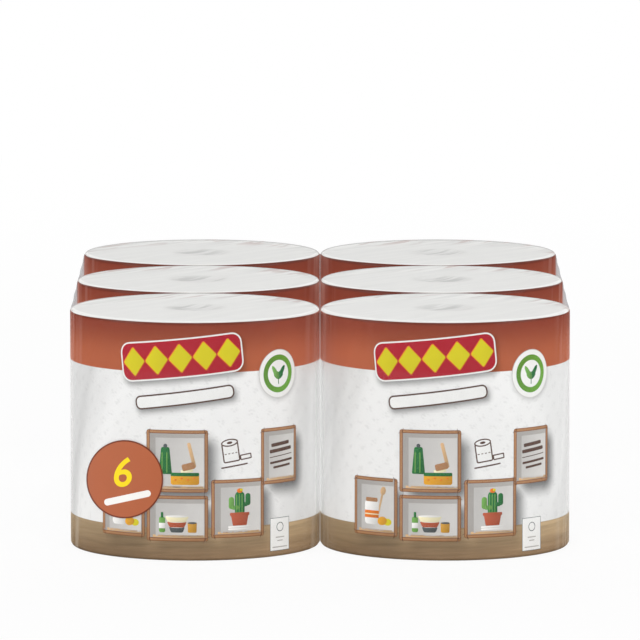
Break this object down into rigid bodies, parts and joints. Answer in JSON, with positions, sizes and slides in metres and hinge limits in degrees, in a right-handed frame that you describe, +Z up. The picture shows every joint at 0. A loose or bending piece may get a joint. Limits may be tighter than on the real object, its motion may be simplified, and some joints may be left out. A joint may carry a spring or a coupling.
{
  "type": "pack of paper towel rolls",
  "caption": "Pack of large paper towel rolls standing on end side by side, each in a printed film wrap, with clear film sleeves round the columns and a round sticker on the front.",
  "frame": {"origin": "centre of the pack's base, on the surface that the rolls stand on", "axes": "+Z up along the rolls, -Y towards the printed front, +X to the right seen from the front"},
  "size_m": [0.4822, 0.7214, 0.23],
  "materials": {
    "printed_film": "printed polyethylene film, satin, slightly wrinkled",
    "tissue": "soft matt embossed tissue",
    "core_board": "plain matt board",
    "clear_film": "clear glossy polyethylene film",
    "sticker_label": "coated paper label, satin"
  },
  "bodies": {
    "root": {"core_tube_front_left": "core_board", "paper_roll_front_left": "tissue", "film_wrap_front_left": "printed_film", "core_tube_middle_left": "core_board", "paper_roll_middle_left": "tissue", "film_wrap_middle_left": "printed_film", "core_tube_back_left": "core_board", "paper_roll_back_left": "tissue", "film_wrap_back_left": "printed_film", "column_sleeve_left": "clear_film", "core_tube_front_right": "core_board", "paper_roll_front_right": "tissue", "film_wrap_front_right": "printed_film", "core_tube_middle_right": "core_board", "paper_roll_middle_right": "tissue", "film_wrap_middle_right": "printed_film", "core_tube_back_right": "core_board", "paper_roll_back_right": "tissue", "film_wrap_back_right": "printed_film", "column_sleeve_right": "clear_film", "round_sticker": "sticker_label"}
  },
  "joints": []
}
